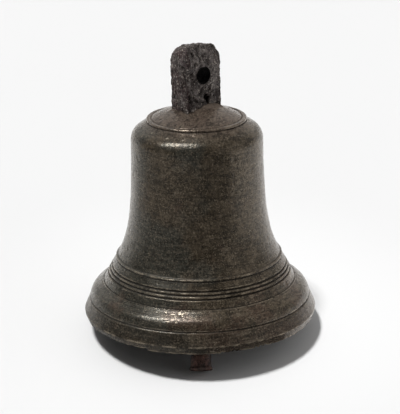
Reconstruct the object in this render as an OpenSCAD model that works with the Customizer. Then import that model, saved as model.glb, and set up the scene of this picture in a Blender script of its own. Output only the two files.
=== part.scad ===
// Small church bell (sanctus bell): a turned bronze casting that hangs from an iron tang
// cast into its crown, with an iron clapper pinned in a staple under the crown.
// The origin is the centre of the hanger hole. The hole runs along Y, and Z is up.
// Inside the modules, heights are measured up from the plane of the mouth.

/* [Bell] */
// Outside diameter at the arris of the rim
mouth_d = 200; // [200:1:204]
// Outside diameter of the waist
waist_d = 111.8; // [110:0.2:114]
// Height of the centre of the shoulder's round
shoulder_h = 157; // [156:0.5:158]
// Thickness of the waist
wall = 6.5; // [5.5:0.25:7]
// Diameter of the raised disc on the crown
disc_d = 85; // [83:0.5:86]
// Height of the top of the crown's dome
dome_h = 186; // [185:0.5:187]

/* [Hanger tang] */
// Width of the tang
tang_w = 37; // [36:0.5:40]
// Thickness of the tang
tang_t = 22; // [18:0.5:23]
// Height of the tang's top above the mouth
tang_top = 240.5; // [237:0.5:244]
// Radius of the tang's top corners
tang_corner = 10; // [8:0.5:13]
// Diameter of the hanger hole
hanger_bore = 14; // [12:0.5:16]
// Height of the hanger hole above the mouth
hanger_h = 213.5; // [210:0.5:216]

/* [Clapper] */
// Angle about the bell's axis from the hanger hole to the clapper's swing
swing_turn = 40; // [0:1:60]
// Lean of the clapper from the bell's axis when it rests on the soundbow
clapper_lean = 27.4; // [26:0.1:27.4]
// Height of the clapper pin above the mouth
pivot_h = 141; // [140.5:0.25:141]
// Length of the clapper from its pin to its foot
clapper_len = 182; // [178:0.5:188]
// Distance from the pin to the centre of the ball
ball_at = 132; // [131:0.25:133]
// Diameter of the ball
ball_d = 32; // [29:0.5:32]
// Diameter of the clapper's flight at its flared foot
flight_d = 19.5; // [18.5:0.5:22]
// Diameter of the clapper pin
pin_d = 8; // [6:0.5:9]

/* [Hidden] */
$fn = 96;

mouth_r = mouth_d / 2;
waist_r = waist_d / 2;
disc_r = disc_d / 2;
running = 0.05;                 // radial clearance of the pin in its bush and in the staple

// Rim and soundbow
rim_band_h = 6.8;               // arris of the rim
bead_h = 17.2;                  // edge over the flat band
bead_r = mouth_r - 4.4;
bow_r = 13.7;                   // the soundbow's round
bow_centre = [mouth_r - 18.7, 16.9];
fillet_h = 33.2;                // thin fillet over the soundbow
wires_h = [40.5, 43.5, 46.4];   // the three wires
wire_r = 0.95;
band_low = [mouth_r - 20.1, 37.8];
band_high = [mouth_r - 25.5, 47.8];

// Waist: the wall flares out towards the rim as an exponential curve
flare_h = 54.6;                 // single wire at the foot of the waist
flare_r = 14.6;
flare_len = 25;
function outer_r(h) = waist_r + flare_r * exp(-(h - flare_h) / flare_len);

// Inside: the same kind of curve down to the soundbow, then straight to the lip
inner_flare_h = 50;
inner_flare_r = 12.6;
inner_flare_len = 24;
function inner_r(h) = waist_r - wall + inner_flare_r * exp(-(h - inner_flare_h) / inner_flare_len);
bow_inside = [[mouth_r - 24, 30], [mouth_r - 18.5, 20], [mouth_r - 14.5, 10], [mouth_r - 8.5, 0]];

// Shoulder and crown
shoulder_r = 13;
shoulder_end = 62;              // degrees of the shoulder's round
disc_h = 173.5;                 // crevice under the disc
disc_t = 2.4;
disc_groove = 4.5;              // width of the disc's flat rim, up to the dome
ceiling_h = 166.5;
ceiling_round = 9.4;
boss_r = 15;
boss_h = 157;

// Clapper fittings, along the hinge axis from the middle of the eye
eye_t = 12.2;
eye_r = 9.5;
bush_r = pin_d / 2 + 2.2;
fork_gap = 12.8;
cheek_t = 5.5;
cheek_out = fork_gap / 2 + cheek_t;
cheek_r = 8;
bridge_h = 151.2;
pin_head_t = 4;
pin_head_r = 7;
pin_tail = 20;
washer_t = 1.6;
split_at = cheek_out + washer_t + 1.8;
split_wire_r = 1.2;
split_eye_r = 2.4;
split_eye_h = 3.8;              // centre of its eye over the pin
shank_r = 6;
ball_flat = 14.6;
shank_end = ball_at + 40;
flight_rim = 2.5;

// Points on an arc about centre c, from angle a to angle b
function arc(c, r, a, b, n) = [for (i = [0:n]) c + r * [cos(a + (b - a) * i / n), sin(a + (b - a) * i / n)]];

// A half-round wire standing on the line from p to q, at height h
function wire(p, q, h) =
    let (slope = atan2(q.y - p.y, q.x - p.x), c = p + (q - p) * (h - p.y) / (q.y - p.y))
    arc(c, wire_r, slope - 180, slope - 360, 8);

// The bell's outside from the lip up to the dome
function outside() = concat(
    [[mouth_r - 1.7, 0], [mouth_r - 1.2, 0.6], [mouth_r - 0.2, 5.2], [mouth_r, rim_band_h]],
    [[bead_r + 0.1, bead_h - 0.5], [bead_r - 0.2, bead_h], [bead_r - 1.1, bead_h + 0.9]],
    arc(bow_centre, bow_r, 8, 52.5, 10),
    [[mouth_r - 17, fillet_h - 0.6], [mouth_r - 17.4, fillet_h]],
    [band_low],
    [for (h = wires_h) each wire(band_low, band_high, h)],
    [band_high, [outer_r(flare_h) + 0.4, flare_h - 1.2], [outer_r(flare_h) + 1, flare_h - 0.5],
     [outer_r(flare_h) + 0.9, flare_h + 0.3]],
    [for (h = [flare_h + 1.2 : 4.6 : shoulder_h - 1]) [outer_r(h), h]],
    arc([outer_r(shoulder_h) - shoulder_r, shoulder_h], shoulder_r, 0, shoulder_end, 10),
    [[disc_r - 0.6, disc_h]],
    arc([disc_r - disc_t / 2, disc_h + disc_t / 2], disc_t / 2, -60, 90, 6),
    [[disc_r - disc_groove + 1.2, disc_h + disc_t], [disc_r - disc_groove + 0.8, disc_h + disc_t - 0.6],
     [disc_r - disc_groove + 0.2, disc_h + disc_t - 0.6]],
    dome());

// The gently domed top of the disc, rising to the tang
function dome() =
    let (r = disc_r - disc_groove, low = disc_h + disc_t)
    [for (i = [0:8]) [r * (1 - i / 8), dome_h - (dome_h - low) * pow(1 - i / 8, 2)]];

// The bell's inside from the boss under the crown down to the lip
function inside() = concat(
    [[0, boss_h], [boss_r - 2, boss_h], [boss_r, boss_h + 2], [boss_r + 4, ceiling_h]],
    arc([waist_r - wall - ceiling_round, ceiling_h - ceiling_round - 2], ceiling_round, 90, 0, 8),
    [for (h = [ceiling_h - 16 : -6 : inner_flare_h]) [inner_r(h), h]],
    bow_inside);

// Lowers everything so that the hanger hole's centre is the origin
module from_mouth() translate([0, 0, -hanger_h]) children();

// Turns the clapper and its fittings about the bell's axis
module on_swing() from_mouth() rotate([0, 0, -swing_turn]) translate([0, 0, pivot_h]) children();

// A clapper part, drawn hanging straight down from its pin and laid against the soundbow
module hung() on_swing() rotate([-clapper_lean, 0, 0]) children();

module along_x(from, to, r) translate([from, 0, 0]) rotate([0, 90, 0]) cylinder(r = r, h = to - from);

module washer_shape(from, to, r, bore_r) difference() {
    along_x(from, to, r);
    along_x(from - 1, to + 1, bore_r);
}

// The tang's root inside the crown, keyed like a dovetail
module tang_root() rotate([90, 0, 0]) linear_extrude(tang_t, center = true)
    polygon([[-tang_w / 2, 179], [-14, 179], [-14, 175], [-17, 171], [17, 171], [14, 175], [14, 179],
             [tang_w / 2, 179], [tang_w / 2, 190], [-tang_w / 2, 190]]);

// The staple's stem inside the crown, keyed the same way
module staple_stem() rotate([90, 0, 0]) linear_extrude(12, center = true)
    polygon([[-6, boss_h - 1], [6, boss_h - 1], [6, 163], [9, 168.5], [-9, 168.5], [-6, 163]]);

module bell_body() color([0.25, 0.22, 0.17]) from_mouth() difference() {
    rotate_extrude($fn = 128) polygon(concat(inside(), outside()));
    tang_root();
    rotate([0, 0, -swing_turn]) staple_stem();
}

module hanger_tang() color([0.24, 0.21, 0.20]) from_mouth() {
    tang_root();
    difference() {
        rotate([90, 0, 0]) linear_extrude(tang_t, center = true) {
            translate([-tang_w / 2, 185]) square([tang_w, tang_top - tang_corner - 185]);
            translate([-tang_w / 2 + tang_corner, 185]) square([tang_w - 2 * tang_corner, tang_top - 185]);
            for (s = [-1, 1])
                translate([s * (tang_w / 2 - tang_corner), tang_top - tang_corner]) circle(tang_corner);
        }
        translate([0, 0, hanger_h]) rotate([90, 0, 0])
            cylinder(d = hanger_bore, h = tang_t + 2, center = true);
    }
}

module crown_staple() color([0.26, 0.20, 0.17]) {
    from_mouth() rotate([0, 0, -swing_turn]) staple_stem();
    on_swing() difference() {
        union() {
            for (s = [-1, 1]) translate([s * (fork_gap + cheek_t) / 2, 0, 0]) {
                rotate([0, 90, 0]) cylinder(r = cheek_r, h = cheek_t, center = true);
                translate([-cheek_t / 2, -cheek_r, 0]) cube([cheek_t, 2 * cheek_r, boss_h - pivot_h]);
            }
            translate([-cheek_out, -cheek_r, bridge_h - pivot_h])
                cube([2 * cheek_out, 2 * cheek_r, boss_h - bridge_h]);
        }
        along_x(-cheek_out - 1, cheek_out + 1, pin_d / 2 + running);
    }
}

module clapper_pin() color([0.30, 0.24, 0.20]) on_swing() difference() {
    union() {
        along_x(-cheek_out - pin_head_t, -cheek_out, pin_head_r);
        along_x(-cheek_out, pin_tail, pin_d / 2);
    }
    translate([split_at, 0, 0]) cylinder(r = split_wire_r + 0.1, h = 2 * pin_d, center = true);
}

module pin_washer() color([0.36, 0.30, 0.26]) on_swing()
    washer_shape(cheek_out, cheek_out + washer_t, pin_d / 2 + 4, pin_d / 2 + 0.15);

module split_pin() color([0.42, 0.38, 0.34]) on_swing() translate([split_at, 0, 0]) {
    translate([0, 0, -pin_d / 2 - 2]) cylinder(r = split_wire_r, h = pin_d + 3);
    translate([0, 0, pin_d / 2 + split_eye_h]) rotate([0, 90, 0])
        rotate_extrude() translate([split_eye_r, 0]) circle(split_wire_r, $fn = 32);
    for (s = [-1, 1]) translate([0, 0, -pin_d / 2 - 2]) rotate([180 + s * 50, 0, 0])
        cylinder(r = split_wire_r * 0.8, h = 6);
}

module clapper_bush() color([0.60, 0.47, 0.25]) hung()
    washer_shape(-eye_t / 2, eye_t / 2, bush_r, pin_d / 2 + running);

module clapper_shank() color([0.27, 0.18, 0.15]) hung() {
    difference() {
        union() {
            along_x(-eye_t / 2, eye_t / 2, eye_r);
            translate([0, 0, -ball_at + ball_flat + 8]) cylinder(r1 = 6.8, r2 = 5.6, h = ball_at - ball_flat - 14);
        }
        along_x(-eye_t, eye_t, bush_r);
    }
    translate([0, 0, -ball_at + ball_flat]) cylinder(r1 = 8.5, r2 = 6.7, h = 8.2);
    translate([0, 0, -shank_end]) cylinder(r = shank_r, h = shank_end - ball_at + ball_flat + 1);
}

module clapper_ball() color([0.26, 0.17, 0.14]) hung() translate([0, 0, -ball_at]) difference() {
    intersection() {
        sphere(d = ball_d);
        cube([2 * ball_d, 2 * ball_d, 2 * ball_flat], center = true);
    }
    cylinder(r = shank_r + running, h = 2 * ball_d, center = true);
}

module clapper_flight() color([0.33, 0.16, 0.13]) hung() translate([0, 0, -clapper_len]) difference() {
    rotate_extrude() polygon([
        [0, 0], [flight_d / 2 - 1.2, 0], [flight_d / 2, 1], [flight_d / 2, flight_rim],
        [flight_d / 2 - 0.9, flight_rim + 1.5], [flight_d / 2 - 2.4, clapper_len - ball_at - ball_flat],
        [0, clapper_len - ball_at - ball_flat]]);
    translate([0, 0, clapper_len - shank_end - running])
        cylinder(r = shank_r + running, h = shank_end);
}

bell_body();
hanger_tang();
crown_staple();
clapper_pin();
pin_washer();
split_pin();
clapper_bush();
clapper_shank();
clapper_ball();
clapper_flight();
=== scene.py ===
import math

import bpy
import numpy as np
from mathutils import Matrix, Vector


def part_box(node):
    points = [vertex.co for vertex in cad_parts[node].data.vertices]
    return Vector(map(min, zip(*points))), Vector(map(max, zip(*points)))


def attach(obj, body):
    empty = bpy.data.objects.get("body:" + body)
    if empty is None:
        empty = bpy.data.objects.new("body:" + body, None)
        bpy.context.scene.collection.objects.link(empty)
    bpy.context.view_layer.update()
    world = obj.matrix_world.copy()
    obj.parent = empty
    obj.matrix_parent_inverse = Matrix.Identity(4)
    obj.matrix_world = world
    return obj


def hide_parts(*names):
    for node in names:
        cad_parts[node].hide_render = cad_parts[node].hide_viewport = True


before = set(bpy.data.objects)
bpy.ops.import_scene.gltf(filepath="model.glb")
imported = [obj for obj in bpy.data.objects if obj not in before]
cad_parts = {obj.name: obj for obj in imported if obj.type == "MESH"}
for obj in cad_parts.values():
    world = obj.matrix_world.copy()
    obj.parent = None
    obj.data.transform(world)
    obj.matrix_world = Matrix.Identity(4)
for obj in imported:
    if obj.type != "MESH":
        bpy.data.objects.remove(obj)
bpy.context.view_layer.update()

# The looks of a small bronze church bell, around its CAD model.
# Lengths are in metres and in the row frame; in the bell's outline they are in millimetres
# above the mouth, as on a drawing.

MM = 0.001
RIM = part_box("bell_body")
TANG_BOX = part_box("hanger_tang")
MOUTH_Z = RIM[0].z
MOUTH_R = (RIM[1].x - RIM[0].x) / 2 / MM
VIEW_TURN = math.radians(-40)          # the viewer stands 40 degrees to the left of the hanger hole
TOWARDS_VIEWER = Vector((math.sin(VIEW_TURN), -math.cos(VIEW_TURN), 0))
VIEWER_RIGHT = Vector((math.cos(VIEW_TURN), math.sin(VIEW_TURN), 0))
UP = Vector((0, 0, 1))


# ---------------------------------------------------------------- camera

def make_camera():
    """A long lens looking down at the bell, whose top leans a little to the left in the picture."""
    elevation, roll = math.radians(18.5), math.radians(1.08)
    distance, raised, above_mouth = 1.636, 0.0838, 7.1 * MM
    c, s = math.cos(roll), math.sin(roll)
    back = TOWARDS_VIEWER * math.cos(elevation) + UP * math.sin(elevation)
    level_up = UP * math.cos(elevation) - TOWARDS_VIEWER * math.sin(elevation)
    right = VIEWER_RIGHT * c - level_up * s
    up = VIEWER_RIGHT * s + level_up * c
    aim = Vector((0, 0, MOUTH_Z + above_mouth)) + up * raised
    camera = bpy.data.objects.new("camera", bpy.data.cameras.new("camera"))
    camera.data.lens = 163.3
    camera.data.sensor_width = 36
    turn = Matrix((right, up, back)).transposed().to_4x4()
    camera.matrix_world = Matrix.Translation(aim + back * distance) @ turn
    bpy.context.scene.collection.objects.link(camera)
    bpy.context.scene.camera = camera


# ---------------------------------------------------------------- seeded noise

def lattice(ix, iy, iz, seed):
    """A repeatable random number from 0 to 1 for each lattice point."""
    h = (ix * 374761393 + iy * 668265263 + iz * 1440662683 + seed * 1274126177) & 0xFFFFFFFF
    for shift, factor in ((15, 2246822519), (13, 3266489917), (16, 668265263)):
        h = ((h ^ (h >> shift)) * factor) & 0xFFFFFFFF
    return (h ^ (h >> 14)) / 0xFFFFFFFF


def smooth_noise(points, size, seed):
    """Smooth noise from -1 to 1 with features about as large as size."""
    p = points / size
    base = np.floor(p).astype(np.int64)
    f = p - base
    f = f * f * f * (f * (f * 6 - 15) + 10)
    total = np.zeros(len(points))
    for dx in (0, 1):
        for dy in (0, 1):
            for dz in (0, 1):
                weight = (f[:, 0] if dx else 1 - f[:, 0]) * (f[:, 1] if dy else 1 - f[:, 1])
                weight = weight * (f[:, 2] if dz else 1 - f[:, 2])
                total += weight * lattice(base[:, 0] + dx, base[:, 1] + dy, base[:, 2] + dz, seed)
    return total * 2 - 1


def rough_noise(points, size, octaves, seed):
    """Noise with finer and finer detail, each layer half the size and height of the last."""
    return sum(smooth_noise(points, size / 2 ** i, seed + i) / 2 ** i for i in range(octaves))


def pits(points, size, share, seed):
    """Round pits: 1 at the middle of a pit, 0 outside it. share is how many cells hold a pit."""
    p = points / size
    base = np.floor(p).astype(np.int64)
    deepest = np.zeros(len(points))
    for dx in (-1, 0, 1):
        for dy in (-1, 0, 1):
            for dz in (-1, 0, 1):
                cell = base + (dx, dy, dz)
                roll = [lattice(cell[:, 0], cell[:, 1], cell[:, 2], seed + k) for k in range(5)]
                centre = cell + 0.2 + 0.6 * np.stack(roll[:3], 1)
                radius = 0.2 + 0.35 * roll[3]
                near = 1 - np.linalg.norm(p - centre, axis=1) / radius
                deepest = np.maximum(deepest, np.where(roll[4] < share, near, 0))
    return np.clip(deepest, 0, 1)


def ramp(x, low, high):
    """0 below low, 1 above high, smooth between."""
    t = np.clip((x - low) / (high - low), 0, 1)
    return t * t * (3 - 2 * t)


# ---------------------------------------------------------------- the bell's outline

RIM_H = 6.8
BEAD_R, BEAD_H = MOUTH_R - 4.4, 17.2
BOW_CENTRE, BOW_R = (MOUTH_R - 18.7, 16.9), 13.7
FILLET_H = 33
BAND_LOW, BAND_HIGH = (MOUTH_R - 20.1, 37.8), (MOUTH_R - 25.5, 47.8)
WIRES_H, WIRE_R = (40.5, 43.5, 46.4), 0.95
FLARE_H, FLARE_R, FLARE_LENGTH = 54.6, 14.6, 25
WAIST_R, WALL = MOUTH_R - 44.1, 6.5
INNER_FLARE_H, INNER_FLARE_R, INNER_FLARE_LENGTH = 50, 12.6, 24
SHOULDER_H, SHOULDER_R = 157, 13
DISC_R, DISC_H, DISC_T = MOUTH_R - 57.5, 173.5, 2.4
DOME_R, DOME_H = DISC_R - 4.5, 186
CEILING_H, CEILING_ROUND = 166.5, 9.4
BOSS_R, BOSS_H = 15, 157


def outer_r(h):
    """The outside radius of the waist."""
    return WAIST_R + FLARE_R * math.exp(-(h - FLARE_H) / FLARE_LENGTH)


def inner_r(h):
    """The inside radius of the waist."""
    return WAIST_R - WALL + INNER_FLARE_R * math.exp(-(h - INNER_FLARE_H) / INNER_FLARE_LENGTH)


def arc(centre, radius, start, end, count):
    """Points on an arc, with angles in degrees."""
    angles = np.radians(np.linspace(start, end, count + 1))
    return [(centre[0] + radius * math.cos(a), centre[1] + radius * math.sin(a)) for a in angles]


def wire(h):
    """A half-round wire on the sloping band."""
    slope = math.degrees(math.atan2(BAND_HIGH[1] - BAND_LOW[1], BAND_HIGH[0] - BAND_LOW[0]))
    share = (h - BAND_LOW[1]) / (BAND_HIGH[1] - BAND_LOW[1])
    centre = (BAND_LOW[0] + share * (BAND_HIGH[0] - BAND_LOW[0]), h)
    return arc(centre, WIRE_R, slope - 180, slope - 360, 10)


def outside():
    """The outline from the lip up to the middle of the crown."""
    line = [(MOUTH_R - 1.7, 0), (MOUTH_R - 1.2, 0.6), (MOUTH_R - 0.2, 5.2), (MOUTH_R, RIM_H)]
    line += [(BEAD_R + 0.1, BEAD_H - 0.5), (BEAD_R - 0.2, BEAD_H), (BEAD_R - 1.1, BEAD_H + 0.9)]
    line += arc(BOW_CENTRE, BOW_R, 8, 52.5, 18)
    line += [(MOUTH_R - 16.6, FILLET_H - 0.7), (MOUTH_R - 16.8, FILLET_H)]
    line += [(MOUTH_R - 17.6, FILLET_H - 0.1), (MOUTH_R - 17.9, FILLET_H + 0.7), BAND_LOW]
    for h in WIRES_H:
        line += wire(h)
    foot = outer_r(FLARE_H)
    line += [BAND_HIGH, (foot + 0.4, FLARE_H - 1.2), (foot + 1, FLARE_H - 0.5), (foot + 0.9, FLARE_H + 0.3)]
    line += [(outer_r(h), h) for h in np.arange(FLARE_H + 1.2, SHOULDER_H - 1, 2.3)]
    line += arc((outer_r(SHOULDER_H) - SHOULDER_R, SHOULDER_H), SHOULDER_R, 0, 62, 16)
    line += [(DISC_R - 0.6, DISC_H)]
    line += arc((DISC_R - DISC_T / 2, DISC_H + DISC_T / 2), DISC_T / 2, -60, 90, 8)
    top = DISC_H + DISC_T
    line += [(DOME_R + 1.2, top), (DOME_R + 0.8, top - 0.35), (DOME_R + 0.2, top - 0.35)]
    rise = DOME_H - top
    line += [(DOME_R * (1 - t), DOME_H - rise * (1 - t) ** 2) for t in np.linspace(0, 0.985, 24)]
    return line


def inside():
    """The outline from the middle of the boss under the crown down to the lip."""
    line = [(0.4, BOSS_H), (BOSS_R - 2, BOSS_H), (BOSS_R, BOSS_H + 2), (BOSS_R + 4, CEILING_H)]
    corner = (WAIST_R - WALL - CEILING_ROUND, CEILING_H - CEILING_ROUND - 2)
    line += arc(corner, CEILING_ROUND, 90, 0, 10)
    line += [(inner_r(h), h) for h in np.arange(CEILING_H - 16, INNER_FLARE_H, -4)]
    line += [(MOUTH_R - 24, 30), (MOUTH_R - 18.5, 20), (MOUTH_R - 14.5, 10), (MOUTH_R - 8.5, 0)]
    return line


def resample(line, step):
    """The outline with extra points, so that no two are further apart than step(height)."""
    made = [np.array(line[0], float)]
    for a, b in zip(line, line[1:]):
        a, b = np.array(a, float), np.array(b, float)
        count = max(1, math.ceil(np.linalg.norm(b - a) / step((a[1] + b[1]) / 2)))
        made += [a + (b - a) * (i + 1) / count for i in range(count)]
    return np.array(made)


# ---------------------------------------------------------------- meshes

def mesh_object(name, points, faces):
    """A new smooth-shaded object in the scene."""
    mesh = bpy.data.meshes.new(name)
    mesh.from_pydata([tuple(p) for p in points], [], [tuple(f) for f in faces])
    mesh.validate()
    mesh.polygons.foreach_set("use_smooth", [True] * len(mesh.polygons))
    piece = bpy.data.objects.new(name, mesh)
    bpy.context.scene.collection.objects.link(piece)
    return piece


def store(piece, name, values):
    """Keeps one number for each vertex, for the material to read."""
    attribute = piece.data.attributes.new(name, "FLOAT", "POINT")
    attribute.data.foreach_set("value", np.asarray(values, dtype=np.float32))


def lip_wear(bearing):
    """How far the lip's edge is worn or chipped away at each bearing from the viewer, in mm."""
    around = np.stack([np.sin(bearing), np.cos(bearing), np.zeros(len(bearing))], 1) * 100
    worn = 0.5 + 0.5 * smooth_noise(around, 19, 11)
    notches = ramp(smooth_noise(around, 5.5, 12), 0.15, 0.55) * ramp(smooth_noise(around, 40, 13), 0, 0.4)
    small = ramp(smooth_noise(around, 2.6, 14), 0.2, 0.8)
    degrees = np.degrees(bearing)
    left_gap = ramp(degrees, -100, -60) * ramp(-degrees, 26, 28)
    right_gap = ramp(degrees, 8, 11) * ramp(-degrees, -40, -30)
    gaps = left_gap * (0.9 + 0.7 * worn) + right_gap * (0.4 + 0.6 * small)
    return 0.5 * worn + 1.2 * notches + 0.4 * small + gaps


def relief(outline, reach):
    """How sharply the outline turns over a length of 2 * reach: above 0 on edges, below 0 in grooves."""
    steps = np.diff(outline, axis=0)
    middles = np.concatenate([[0], np.cumsum(np.linalg.norm(steps, axis=1))])
    heading = np.unwrap(np.arctan2(steps[:, 1], steps[:, 0]))
    at = (middles[1:] + middles[:-1]) / 2
    return np.interp(middles + reach, at, heading) - np.interp(middles - reach, at, heading)


# Where the patina is knocked off: bearing from the viewer in degrees, then height, half width and
# half height in mm, and how pale the place is
CHIPS = ((-19.2, 30.8, 0.8, 0.7, 1), (-15.2, 30.0, 2.6, 0.35, 0.6), (-13.2, 28.3, 0.35, 1.3, 0.45),
         (-11.4, 31.0, 1.3, 1.1, 0.9), (-9.6, 30.2, 1.0, 1.3, 1), (-8.3, 31.8, 1.1, 0.6, 0.6),
         (-17.5, 26.0, 3.0, 0.35, 0.5), (-30.5, 21.9, 0.8, 0.5, 0.7), (-12.5, 25.9, 0.5, 0.5, 0.8),
         (-10.5, 4.2, 5.0, 1.3, 0.16), (5.6, 2.4, 1.6, 0.7, 0.8), (-53, 170.3, 1.1, 0.6, 0.55),
         (-30, 169.3, 1.1, 0.6, 0.7), (-14, 168.6, 0.8, 0.5, 0.4), (-62, 166.4, 0.8, 0.6, 0.4),
         (-5, 20.6, 1.6, 1.6, 0.10), (38, 30.5, 1.6, 0.9, 0.12), (57, 98.0, 1.0, 1.2, 0.15),
         (-75, 84, 1.0, 1.6, 0.2), (143, 61, 1.4, 1.0, 0.5), (170, 24, 1.8, 0.8, 0.6),
         (-128, 140, 0.9, 1.2, 0.4))


def chipped(bearing, height, radius, points):
    """How bare the bronze is: 1 in the middle of a pale chip and 0 away from all of them."""
    ragged = 0.4 * smooth_noise(points, 1.1, 401) + 0.35 * smooth_noise(points, 0.55, 402)
    most = np.zeros(len(bearing))
    for degrees, middle, wide, tall, pale in CHIPS:
        across = (bearing - math.radians(degrees)) * radius
        here = 1 - np.hypot(across / wide, (height - middle) / tall) + ragged
        most = np.maximum(most, pale * ramp(here, 0, 0.35))
    return most


def casting_push(p, h, out):
    """How far the surface stands off the turned outline, in mm: waviness, turning rings, pits and worn
    wires. out is 1 on the outside and 0 on the inside."""
    push = 0.16 * rough_noise(p, 34, 3, 21) + 0.035 * rough_noise(p, 3.2, 2, 31)
    ring = np.stack([np.zeros(len(p)), np.zeros(len(p)), h], 1)
    push += out * 0.03 * smooth_noise(ring, 1.7, 41)
    push -= out * 0.45 * pits(p, 7.0, 0.16, 51) ** 1.5 + out * 0.22 * pits(p, 2.6, 0.12, 61)
    push -= (1 - out) * 0.3 * pits(p, 6.0, 0.3, 55)
    mouldings = ramp(h, 30, 34) * ramp(-h, -60, -56)
    return push - out * mouldings * 0.25 * ramp(smooth_noise(p, 16, 71), 0.2, 0.8)


def turned_faces(rows, turns):
    """The faces between the rings of a turned mesh, and round the two last points that close its ends."""
    faces = []
    for i in range(rows - 1):
        a, c = i * turns, (i + 1) * turns
        faces += [(a + j, a + (j + 1) % turns, c + (j + 1) % turns, c + j) for j in range(turns)]
    top, first = (rows - 1) * turns, rows * turns
    faces += [(first, (j + 1) % turns, j) for j in range(turns)]
    faces += [(top + j, top + (j + 1) % turns, first + 1) for j in range(turns)]
    return faces


def bell_casting():
    """The turned casting, with the slight waviness, pits, worn wires and chipped lip of an old bell."""
    outer = resample(outside(), lambda h: 0.4 if h < 58 or h > 162 else 1.2)
    inner = resample(inside(), lambda h: 2.5 if h > 8 else 0.8)
    turns = 600
    outline = np.concatenate([inner, outer])
    sharp = relief(outline, 0.8)
    along = np.gradient(outline, axis=0)
    normal = np.stack([along[:, 1], -along[:, 0]], 1)
    normal /= np.linalg.norm(normal, axis=1)[:, None] + 1e-9
    is_outer = (np.arange(len(outline)) >= len(inner)).astype(float)

    bearing = np.linspace(-math.pi, math.pi, turns, endpoint=False)
    r = np.repeat(outline[:, 0], turns)
    h = np.repeat(outline[:, 1], turns)
    nr, nh = np.repeat(normal[:, 0], turns), np.repeat(normal[:, 1], turns)
    out = np.repeat(is_outer, turns)
    b = np.tile(bearing, len(outline))
    p = np.stack([r * np.sin(b), r * np.cos(b), h], 1)

    push = casting_push(p, h, out)
    r = r + nr * push
    h = h + nh * push

    chip, chip_depth = out * chipped(b, h, r, p), 0.2
    r = r - nr * chip_depth * chip
    h = h - nh * chip_depth * chip
    wear = lip_wear(b)
    at_lip = ramp(-h, -5.5, -0.2) * ramp(r, MOUTH_R - 11, MOUTH_R - 5)
    h = h + wear * at_lip
    r = r - 0.35 * wear * ramp(-h, -5.5, -1.5) * ramp(r, MOUTH_R - 4, MOUTH_R - 1)

    x = r * np.sin(b)
    y = -r * np.cos(b)
    lap = np.where((h > DISC_H) * (out > 0), tang_lap(x, y), 0)
    h = h + lap

    turn = Matrix.Rotation(VIEW_TURN, 3, "Z")
    points = np.stack([x, y, h], 1) @ np.array(turn).T * MM
    points[:, 2] += MOUTH_Z
    ends = [[0, 0, MOUTH_Z + end[1] * MM] for end in (outline[0], outline[-1])]
    bell = mesh_object("bell_casting", np.concatenate([points, ends]), turned_faces(len(outline), turns))
    store(bell, "relief", np.append(np.repeat(sharp, turns), (0, 0)))
    store(bell, "chip", np.append(chip, (0, 0)))
    store(bell, "lap", np.append(lap, (0, 0)))
    return bell


def tang_lap(x, y):
    """The ragged bronze that laps up against the foot of the iron tang, in mm above the dome.
    x and y are across and along the viewer's line, so they are turned back to the tang's own axes."""
    c, s = math.cos(VIEW_TURN), math.sin(VIEW_TURN)
    tx, ty = x * c - y * s, x * s + y * c
    half_w, half_t = TANG_BOX[1].x / MM, TANG_BOX[1].y / MM
    dx, dy = np.abs(tx) - half_w, np.abs(ty) - half_t
    gap = np.hypot(np.maximum(dx, 0), np.maximum(dy, 0)) + np.minimum(np.maximum(dx, dy), 0)
    place = np.stack([tx, ty, np.zeros(len(tx))], 1)
    lump = 0.5 + 0.5 * smooth_noise(place, 6, 81) + 0.3 * smooth_noise(place, 2.5, 82)
    facing = ramp(tx, -9, 4) * ramp(-ty, 0, 4)
    reach = 2.6 + 1.2 * smooth_noise(place, 9, 83)
    return np.clip(lump + 2.4 * facing, 0.1, 4) * np.exp(-np.maximum(gap + 0.6, 0) / reach)


# ---------------------------------------------------------------- ironwork

def read_points(piece, what="co"):
    """The vertices' places, or their normals."""
    values = np.zeros(len(piece.data.vertices) * 3)
    piece.data.vertices.foreach_get(what, values)
    return values.reshape(-1, 3)


def write_points(piece, points):
    piece.data.vertices.foreach_set("co", points.ravel())
    piece.data.update()


def weathered(node, name, voxel, smoothing, skin):
    """A copy of a CAD node, remeshed finely, with its edges softened and its surface pushed along its
    normals. skin(points, normals) gives the push in mm and how deep in a hollow each point is."""
    piece = bpy.data.objects.new(name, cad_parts[node].data.copy())
    bpy.context.scene.collection.objects.link(piece)
    remesh = piece.modifiers.new("fine", "REMESH")
    remesh.mode = "VOXEL"
    remesh.voxel_size = voxel * MM
    soften = piece.modifiers.new("soften", "SMOOTH")
    soften.factor = 0.5
    soften.iterations = smoothing
    bpy.context.view_layer.update()
    made = bpy.data.meshes.new_from_object(piece.evaluated_get(bpy.context.evaluated_depsgraph_get()))
    piece.modifiers.clear()
    piece.data = made
    points, normals = read_points(piece), read_points(piece, "normal")
    push, deep = skin(points / MM, normals)
    write_points(piece, points + normals * push[:, None] * MM)
    store(piece, "deep", deep)
    made.polygons.foreach_set("use_smooth", [True] * len(made.polygons))
    return piece


# Hollows in the tang's holed face: across, height from the hole, half width, half height and depth in mm
TANG_HOLLOWS = ((5.0, -22.5, 2.8, 3.8, 3.4), (2.2, -19.5, 2.6, 3.6, 3.0), (-10.2, 17.5, 1.5, 5.0, 1.9),
                (-8.4, 9.0, 1.7, 2.6, 1.7), (-3.0, -13.5, 2.0, 4.5, 1.5), (-14.0, -17.0, 2.6, 6.5, 1.7),
                (3.0, 17.5, 2.6, 1.8, 1.3), (-8.0, -20.5, 2.0, 4.6, 1.5), (-1.5, -25.0, 1.8, 2.6, 1.6),
                (-12.5, 3.0, 2.0, 2.6, 1.1), (11.5, -19.0, 1.6, 2.2, 1.2))


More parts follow.
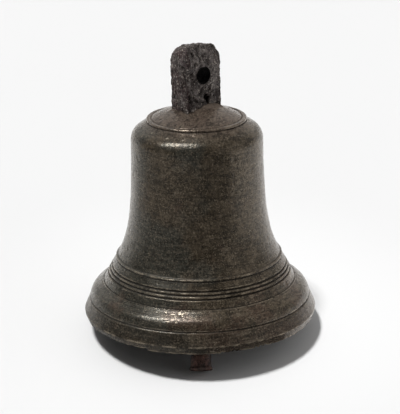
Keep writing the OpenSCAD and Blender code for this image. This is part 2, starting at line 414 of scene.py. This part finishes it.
def tang_skin(p, n):
    """Deeply corroded iron: lumpy on the left of the holed face, smooth to the right of the hole.
    Gives how far to push the surface in mm, and how deep in a hollow or the bore each point is."""
    hole = np.hypot(p[:, 0], p[:, 2])
    bore_wall = ramp(-hole, -7.7, -7.2) * ramp(-np.abs(n[:, 1]), -0.6, -0.3)
    front = ramp(-n[:, 1], 0.3, 0.7)
    end = ramp(-n[:, 0], 0.3, 0.7)
    smooth_strip = ramp(p[:, 0], 5.5, 8.5) * ramp(-p[:, 2], -13, -7) * ramp(p[:, 2], -18, -13) * front
    rough = (1 - 0.9 * smooth_strip) * (1 - 0.45 * end) * (1 - 0.6 * ramp(-hole, -9.5, -7.4))
    push = -0.5 - 0.4 * front + rough * 0.8 * rough_noise(p, 7, 4, 101)
    push -= 1.3 * rough * pits(p, 4.6, 0.5, 111) ** 1.2
    push -= 1.1 * rough * pits(p * (1, 1, 0.75), 2.3, 0.6, 121)
    grain = 1 - np.abs(smooth_noise(p * (1, 1, 0.5), 3.0, 131))
    push -= 0.9 * rough * ramp(grain, 0.70, 1)
    deep = bore_wall.copy()
    bent = 1.3 * smooth_noise(p, 6, 141)
    for x, z, wide, tall, depth in TANG_HOLLOWS:
        away = np.hypot((p[:, 0] - x + bent) / wide, (p[:, 2] - z + bent) / tall)
        in_hollow = ramp(-away, -1, -0.25) * front
        push -= depth * in_hollow
        deep = np.maximum(deep, in_hollow * depth / 3)
    side = ramp(p[:, 2], -29, -22) * ramp(-p[:, 2], -11, -8.5)
    channel = np.abs(p[:, 1] + 7.0 - 0.10 * (p[:, 2] + 8) + 0.7 * bent)
    groove = side * ramp(-channel, -4.2, -0.4) * end
    push -= 1.9 * groove
    return push * (1 - bore_wall) - 0.05 * bore_wall, np.maximum(deep, 0.4 * groove)


def wear_tang_top(piece):
    """The tang's top is rounded over from front to back, drops a little behind, and has a lower left lobe."""
    low, high = (np.array(c) / MM for c in TANG_BOX)
    co = read_points(piece) / MM
    share = ramp(co[:, 2], 6, high[2])
    co[:, 1] *= 1 - 0.34 * share ** 2
    across = (co[:, 0] - low[0]) / (high[0] - low[0])
    away = (co[:, 1] - low[1]) / (high[1] - low[1])
    slope = 3.2 * away - 0.2 + 4.6 * (across - 0.5) + 1.0 * ramp(-across, -0.3, -0.2)
    co[:, 2] -= share * slope
    write_points(piece, co * MM)
    return piece


def rust_skin(size, depth, seed):
    """A skin of scale and rust pits for forged iron. The normals aren't needed."""
    def skin(p, _):
        pit = pits(p, size * 0.45, 0.35, seed + 10)
        return depth * (0.5 * rough_noise(p, size, 4, seed) - 0.35 - pit), 0.7 * pit
    return skin


# ---------------------------------------------------------------- materials

class Nodes:
    """Short calls for building a node tree."""

    def __init__(self, tree):
        self.tree = tree

    def add(self, kind, **settings):
        node = self.tree.nodes.new(kind)
        for key, value in settings.items():
            setattr(node, key, value)
        return node

    def link(self, source, target):
        self.tree.links.new(source, target)

    def put(self, socket, value):
        if isinstance(value, bpy.types.NodeSocket):
            self.link(value, socket)
        else:
            socket.default_value = value

    def math(self, operation, a, b=0.0, clamp=False):
        node = self.add("ShaderNodeMath", operation=operation, use_clamp=clamp)
        self.put(node.inputs[0], a)
        self.put(node.inputs[1], b)
        return node.outputs[0]

    def span(self, value, low, high, to_low=0.0, to_high=1.0):
        node = self.add("ShaderNodeMapRange", interpolation_type="SMOOTHSTEP")
        self.put(node.inputs["Value"], value)
        for key, number in (("From Min", low), ("From Max", high), ("To Min", to_low), ("To Max", to_high)):
            node.inputs[key].default_value = number
        return node.outputs["Result"]

    def mix(self, share, a, b):
        node = self.add("ShaderNodeMix", data_type="RGBA")
        self.put(node.inputs["Factor"], share)
        for socket, value in ((node.inputs[6], a), (node.inputs[7], b)):
            self.put(socket, value if isinstance(value, bpy.types.NodeSocket) else (*value, 1))
        return node.outputs[2]

    def dot(self, vector, axis):
        node = self.add("ShaderNodeVectorMath", operation="DOT_PRODUCT")
        self.link(vector, node.inputs[0])
        node.inputs[1].default_value = axis
        return node.outputs["Value"]


class Surface(Nodes):
    """A new material, with the object's own coordinates to place its textures."""

    def __init__(self, name):
        self.material = bpy.data.materials.new(name)
        self.material.use_nodes = True
        super().__init__(self.material.node_tree)
        self.shader = self.tree.nodes["Principled BSDF"]
        self.place = self.add("ShaderNodeTexCoord").outputs["Object"]

    def noise(self, scale, detail=6, roughness=0.6, vector=None):
        node = self.add("ShaderNodeTexNoise")
        self.link(vector or self.place, node.inputs["Vector"])
        node.inputs["Scale"].default_value = scale
        node.inputs["Detail"].default_value = detail
        node.inputs["Roughness"].default_value = roughness
        return node.outputs["Fac"]

    def attribute(self, name):
        node = self.add("ShaderNodeAttribute", attribute_name=name)
        return node.outputs["Fac"]

    def cylinder(self, around, up):
        """Coordinates that run round the bell's axis and up it, for turning marks."""
        split = self.add("ShaderNodeSeparateXYZ")
        self.link(self.place, split.inputs[0])
        bearing = self.math("ARCTAN2", split.outputs[0], split.outputs[1])
        joined = self.add("ShaderNodeCombineXYZ")
        self.link(self.math("MULTIPLY", self.math("SINE", bearing), around), joined.inputs[0])
        self.link(self.math("MULTIPLY", self.math("COSINE", bearing), around), joined.inputs[1])
        self.link(self.math("MULTIPLY", split.outputs[2], up), joined.inputs[2])
        return joined.outputs[0]

    def bump(self, *layers):
        """Stacks (height, distance in metres, strength) layers on the shader's normal."""
        last = None
        for height, distance, strength in layers:
            node = self.add("ShaderNodeBump")
            self.link(height, node.inputs["Height"])
            node.inputs["Distance"].default_value = distance
            node.inputs["Strength"].default_value = strength
            if last is not None:
                self.link(last, node.inputs["Normal"])
            last = node.outputs[0]
        self.link(last, self.shader.inputs["Normal"])

    def finish(self, colour, roughness, metallic, specular=0.5):
        self.put(self.shader.inputs["Base Color"], colour)
        self.put(self.shader.inputs["Roughness"], roughness)
        self.put(self.shader.inputs["Metallic"], metallic)
        self.shader.inputs["Specular IOR Level"].default_value = specular
        return self.material


def bronze():
    """Old turned bronze under a dark brown patina, mottled green, grey and rusty."""
    m = Surface("bronze_patina")
    blotch = m.noise(75, 8, 0.68)
    fleck = m.noise(430, 5, 0.7)
    grit = m.noise(850, 3, 0.65)
    lines = m.noise(1, 5, 0.7, m.cylinder(4.5, 640))
    side = m.dot(m.place, VIEWER_RIGHT)
    split = m.add("ShaderNodeSeparateXYZ")
    m.link(m.place, split.inputs[0])
    height = split.outputs[2]
    broad = m.noise(22, 6, 0.6)
    colour = m.mix(m.span(blotch, 0.40, 0.60), (0.041, 0.031, 0.019), (0.084, 0.064, 0.042))
    green = m.span(m.math("ADD", broad, m.math("MULTIPLY", side, -3.2)), 0.48, 0.66, 0, 0.85)
    colour = m.mix(green, colour, (0.047, 0.049, 0.041))
    low = m.span(height, MOUTH_Z + 60 * MM, MOUTH_Z + 30 * MM, -0.06, 0.05)
    rusty = m.math("ADD", m.noise(34, 7, 0.62), m.math("ADD", low, m.math("MULTIPLY", side, 0.8)))
    colour = m.mix(m.span(rusty, 0.53, 0.66, 0, 0.65), colour, (0.076, 0.046, 0.032))
    # Painted shade: the foot of the bell, below the bead, is darkened because it faces down at the shaded
    # floor.
    foot = m.span(height, MOUTH_Z + 19 * MM, MOUTH_Z + 15 * MM, 0, 0.45)
    colour = m.mix(foot, colour, (0.026, 0.020, 0.015))
    crown = m.span(height, MOUTH_Z + (DISC_H - 8) * MM, MOUTH_Z + (DISC_H + 4) * MM)
    colour = m.mix(m.math("MULTIPLY", crown, 0.8), colour, (0.132, 0.096, 0.076))
    colour = m.mix(m.span(fleck, 0.52, 0.61, 0, 0.85), colour, (0.013, 0.010, 0.007))
    colour = m.mix(m.span(fleck, 0.45, 0.36, 0, 0.6), colour, (0.150, 0.124, 0.090))
    colour = m.mix(m.span(grit, 0.54, 0.62, 0, 0.75), colour, (0.014, 0.011, 0.008))
    colour = m.mix(m.span(grit, 0.44, 0.36, 0, 0.75), colour, (0.195, 0.160, 0.118))
    colour = m.mix(m.span(lines, 0.52, 0.62, 0, 0.6), colour, (0.017, 0.014, 0.010))
    colour = m.mix(m.span(lines, 0.45, 0.36, 0, 0.4), colour, (0.150, 0.122, 0.090))
    relief = m.attribute("relief")
    # Pale edge wear on the turned edges, cut back on the crown. At the foot it is raised, and there it is
    # also a painted highlight along the rim's arris.
    worn = m.math("MULTIPLY", m.span(relief, 0.16, 0.7), m.span(m.noise(130, 6, 0.65), 0.42, 0.62))
    share = m.math("ADD", m.math("SUBTRACT", 0.5, m.math("MULTIPLY", crown, 0.3)), foot)
    worn = m.math("MULTIPLY", worn, share)
    colour = m.mix(worn, colour, (0.30, 0.25, 0.185))
    # The grooves are darkened nearly to black, less so on the crown.
    groove = m.span(relief, -0.2, -0.9)
    groove_dark = m.math("MULTIPLY", groove, m.math("SUBTRACT", 0.75, m.math("MULTIPLY", crown, 0.45)))
    colour = m.mix(groove_dark, colour, (0.010, 0.008, 0.006))
    lap = m.span(m.attribute("lap"), 0.3, 1.2)
    colour = m.mix(m.math("MULTIPLY", lap, 0.6), colour, (0.085, 0.064, 0.050))
    chip = m.attribute("chip")
    colour = m.mix(m.math("MULTIPLY", chip, 0.85), colour, (0.38, 0.33, 0.25))
    rough = m.math("ADD", m.span(blotch, 0.36, 0.64, 0.22, 0.28), m.span(fleck, 0.42, 0.66, -0.01, 0.10))
    rough = m.math("ADD", rough, m.math("MULTIPLY", m.math("MAXIMUM", groove, lap), 0.4), clamp=True)
    m.bump((m.noise(75, 6, 0.6), 0.0009, 0.25), (lines, 0.0003, 0.35),
           (fleck, 0.0004, 0.25), (grit, 0.0002, 0.25))
    m.shader.inputs["Specular Tint"].default_value = (1, 0.96, 0.91, 1)
    return m.finish(colour, rough, 0.45, 0.5)


def iron(m, colour, rough):
    """Iron with painted shade: its bore, pits and hollows are made nearly black, as a dark metal that throws
    back little light.
    """
    deep = m.span(m.attribute("deep"), 0.05, 0.8)
    metallic = m.math("ADD", m.math("MULTIPLY", deep, 0.6), 0.35)
    # Painted shade: the deeper a point lies in the bore, a pit or a hollow, the nearer black it is made.
    colour = m.mix(m.math("MULTIPLY", deep, 0.95), colour, (0.004, 0.003, 0.003))
    return m.finish(colour, m.math("ADD", rough, m.math("MULTIPLY", deep, 0.4), clamp=True), metallic, 0.35)


def tang_iron():
    """Corroded iron, dark grey with purple-brown rust at its left end."""
    m = Surface("tang_iron_rust")
    blotch = m.noise(170, 8, 0.72)
    grain = m.noise(560, 6, 0.75)
    colour = m.mix(m.span(blotch, 0.42, 0.58), (0.036, 0.028, 0.025), (0.138, 0.119, 0.110))
    ends = m.add("ShaderNodeSeparateXYZ")
    m.link(m.place, ends.inputs[0])
    left = m.math("MULTIPLY", m.span(ends.outputs[0], -0.012, -0.0175, 0.15, 1),
                  m.span(m.noise(60, 5, 0.6), 0.36, 0.56))
    colour = m.mix(m.math("MULTIPLY", left, 0.92), colour, (0.046, 0.026, 0.026))
    colour = m.mix(m.span(grain, 0.54, 0.62, 0, 0.85), colour, (0.42, 0.37, 0.32))
    colour = m.mix(m.span(m.noise(420, 6, 0.7), 0.52, 0.60, 0, 0.92), colour, (0.010, 0.007, 0.006))
    rough = m.span(blotch, 0.35, 0.65, 0.52, 0.34)
    m.bump((m.noise(230, 7, 0.7), 0.0016, 0.7), (grain, 0.0009, 0.85))
    return iron(m, colour, rough)


def clapper_iron():
    """Forged iron under dark red-brown rust, worn smooth in places."""
    m = Surface("clapper_iron_rust")
    blotch = m.noise(160, 8, 0.7)
    grain = m.noise(620, 6, 0.7)
    colour = m.mix(m.span(blotch, 0.40, 0.62), (0.050, 0.028, 0.023), (0.135, 0.074, 0.060))
    colour = m.mix(m.span(m.noise(60, 5, 0.6), 0.48, 0.64, 0, 0.6), colour, (0.070, 0.056, 0.050))
    colour = m.mix(m.span(grain, 0.54, 0.63, 0, 0.75), colour, (0.26, 0.15, 0.11))
    colour = m.mix(m.span(m.noise(420, 5, 0.7), 0.51, 0.60, 0, 0.9), colour, (0.010, 0.006, 0.005))
    rough = m.span(blotch, 0.3, 0.7, 0.30, 0.55)
    m.bump((m.noise(170, 6, 0.65), 0.0012, 0.5), (grain, 0.0006, 0.7))
    return iron(m, colour, rough)


def dull_steel():
    """Plain steel gone dark, with rust specks."""
    m = Surface("dull_steel")
    blotch = m.noise(160, 7, 0.65)
    colour = m.mix(m.span(blotch, 0.35, 0.7), (0.09, 0.08, 0.075), (0.20, 0.18, 0.165))
    colour = m.mix(m.span(m.noise(300, 6, 0.7), 0.55, 0.7, 0, 0.8), colour, (0.11, 0.05, 0.03))
    m.bump((m.noise(600, 6, 0.7), 0.0003, 0.5))
    return m.finish(colour, m.span(blotch, 0.3, 0.7, 0.3, 0.55), 0.8, 0.5)


def bush_brass():
    """Turned brass, tarnished."""
    m = Surface("bush_brass")
    blotch = m.noise(140, 6, 0.6)
    colour = m.mix(m.span(blotch, 0.35, 0.7), (0.28, 0.18, 0.07), (0.48, 0.34, 0.15))
    m.bump((m.noise(500, 5, 0.6), 0.0002, 0.4))
    return m.finish(colour, m.span(blotch, 0.3, 0.7, 0.28, 0.5), 0.9, 0.5)


# ---------------------------------------------------------------- floor and light

def set_down():
    """The plane that the bell rests on, leaning back on its lip and on the clapper's foot.
    Returns a point on it, its normal and the direction in it that runs away from the viewer."""
    away = -TOWARDS_VIEWER
    heel = away * (MOUTH_R - 1.7) * MM + UP * MOUTH_Z
    slopes = []
    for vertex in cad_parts["clapper_flight"].data.vertices:
        reach = (heel - vertex.co).dot(away)
        slopes.append((heel.z - vertex.co.z) / reach)
    along = (away + UP * max(slopes)).normalized()
    return heel, VIEWER_RIGHT.cross(along), along


# How bright the floor is in reflections, by sectors: which way each faces, in degrees up from the side
# (1 right, -1 left) towards the back, how soft its edge is, and its brightness
SECTORS = ((61, 1, 0.05, 0.9), (10, -1, 0.3, 0.36), (70, -1, 0.75, 0.40), (90, -1, 0.5, 0.62))
FLOOR_DIM = 0.08


def make_stage():
    """A pale floor, which in the bell's reflections is brightest behind on the right and dim in front."""
    heel, normal, along = set_down()
    size, middle = 4.0, heel - normal * 0.3 * MM
    corners = [middle + VIEWER_RIGHT * x + along * y for x, y in
               ((-size, -size), (size, -size), (size, size), (-size, size))]
    floor = mesh_object("floor", corners, [(0, 1, 2, 3)])
    m = Surface("floor_white")
    away = m.dot(m.place, -TOWARDS_VIEWER)
    right = m.dot(m.place, VIEWER_RIGHT)
    far = m.math("SQRT", m.math("ADD", m.math("MULTIPLY", away, away), m.math("MULTIPLY", right, right)))
    shades = []
    for degrees, side, soft, white in SECTORS:
        turn = math.radians(degrees)
        reach = m.math("ADD", m.math("MULTIPLY", away, math.sin(turn)),
                       m.math("MULTIPLY", right, side * math.cos(turn)))
        shades.append(m.span(m.math("DIVIDE", reach, far), -soft, soft, FLOOR_DIM, white))
    lit = shades[0]
    for shade in shades[1:]:
        lit = m.math("MAXIMUM", lit, shade)
    mirrored = m.mix(lit, (0, 0, 0), (1, 1, 1))
    glossy = m.add("ShaderNodeLightPath").outputs["Is Glossy Ray"]
    m.bump((m.noise(60, 3, 0.5), 0.0002, 0.05))
    paper = m.mix(m.span(far, 0.09, 0.30), (0.745, 0.745, 0.745), (0.69, 0.69, 0.69))
    m.finish(m.mix(glossy, paper, mirrored), 0.8, 0.0, 0.0)
    floor.data.materials.append(m.material)
    return normal


def make_sun(normal):
    """A soft light nearly overhead, leaning a little left of the floor's normal and towards the viewer."""
    sun = bpy.data.objects.new("overhead", bpy.data.lights.new("overhead", "SUN"))
    sun.data.energy = 3.3
    sun.data.angle = math.radians(9)
    sun.visible_glossy = False
    sun.rotation_mode = "QUATERNION"
    lean = VIEWER_RIGHT * -math.tan(math.radians(15)) + TOWARDS_VIEWER * math.tan(math.radians(6.5))
    sun.rotation_quaternion = (normal + lean).to_track_quat("Z", "Y")
    bpy.context.scene.collection.objects.link(sun)


def make_strip():
    """A strip light that shows only as a gleam."""
    strip = bpy.data.objects.new("strip", bpy.data.lights.new("strip", "AREA"))
    strip.data.shape = "RECTANGLE"
    strip.data.size, strip.data.size_y = 0.95, 0.12
    strip.data.energy = 25
    strip.visible_diffuse = False
    towards = (VIEWER_RIGHT * -0.43 + TOWARDS_VIEWER * 0.27 + UP * 0.88).normalized()
    across = (VIEWER_RIGHT - towards * VIEWER_RIGHT.dot(towards)).normalized()
    turn = Matrix((across, towards.cross(across), towards)).transposed().to_4x4()
    strip.matrix_world = Matrix.Translation(towards * 1.5) @ turn
    bpy.context.scene.collection.objects.link(strip)


def make_room():
    """A dark room, bright behind the bell, to its right and overhead, and nearly white to the camera."""
    world = bpy.data.worlds.new("studio")
    world.use_nodes = True
    m = Nodes(world.node_tree)
    direction = m.add("ShaderNodeTexCoord").outputs["Generated"]
    light = m.add("ShaderNodeLightPath")
    behind = m.span(m.dot(direction, -TOWARDS_VIEWER), 0.15, 0.75, 0.06, 0.66)
    beside = m.span(m.dot(direction, VIEWER_RIGHT), 0.25, 0.85, 0, 0.9)
    halved = m.math("MULTIPLY", light.outputs["Is Glossy Ray"], 0.5)
    beside = m.math("MULTIPLY", beside, m.math("SUBTRACT", 1, halved))
    above = m.span(m.dot(direction, UP), 0.55, 0.95, 0, 0.3)
    room = m.math("MAXIMUM", above, m.math("MAXIMUM", behind, beside))
    shade = m.mix(light.outputs["Is Camera Ray"], m.mix(room, (0, 0, 0), (1, 1, 1)), (0.94, 0.94, 0.94))
    m.link(shade, m.tree.nodes["Background"].inputs["Color"])
    bpy.context.scene.world = world
    bpy.context.scene.view_settings.view_transform = "Standard"


# ---------------------------------------------------------------- putting it together

def paint(piece, material):
    piece.data.materials.clear()
    piece.data.materials.append(material)


def add_piece(piece, body, node, material):
    """Puts a weathered piece in a CAD node's place."""
    paint(piece, material)
    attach(piece, body)
    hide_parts(node)


# Rusted pieces: node, name, body, slot, voxel in mm, rounds of smoothing, and rust size, depth and seed
FORGED = (("crown_staple", "forged_staple", "bell", "staple_iron", 0.5, 4, (6, 0.35, 201)),
          ("clapper_shank", "forged_shank", "clapper", "clapper_iron", 0.6, 3, (7, 0.35, 221)),
          ("clapper_ball", "forged_ball", "clapper", "clapper_iron", 0.5, 4, (7, 0.4, 241)),
          ("clapper_flight", "forged_flight", "clapper", "clapper_iron", 0.35, 2, (4, 0.3, 261)))

make_camera()
add_piece(bell_casting(), "bell", "bell_body", bronze())
tang = wear_tang_top(weathered("hanger_tang", "corroded_tang", 0.42, 8, tang_skin))
add_piece(tang, "bell", "hanger_tang", tang_iron())
rusty = clapper_iron()
for node, name, body, slot, voxel, smoothing, rust in FORGED:
    add_piece(weathered(node, name, voxel, smoothing, rust_skin(*rust)), body, node, rusty)
steel = dull_steel()
for node in ("clapper_pin", "pin_washer", "split_pin"):
    paint(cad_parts[node], steel)
paint(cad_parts["clapper_bush"], bush_brass())

make_sun(make_stage())
make_strip()
make_room()
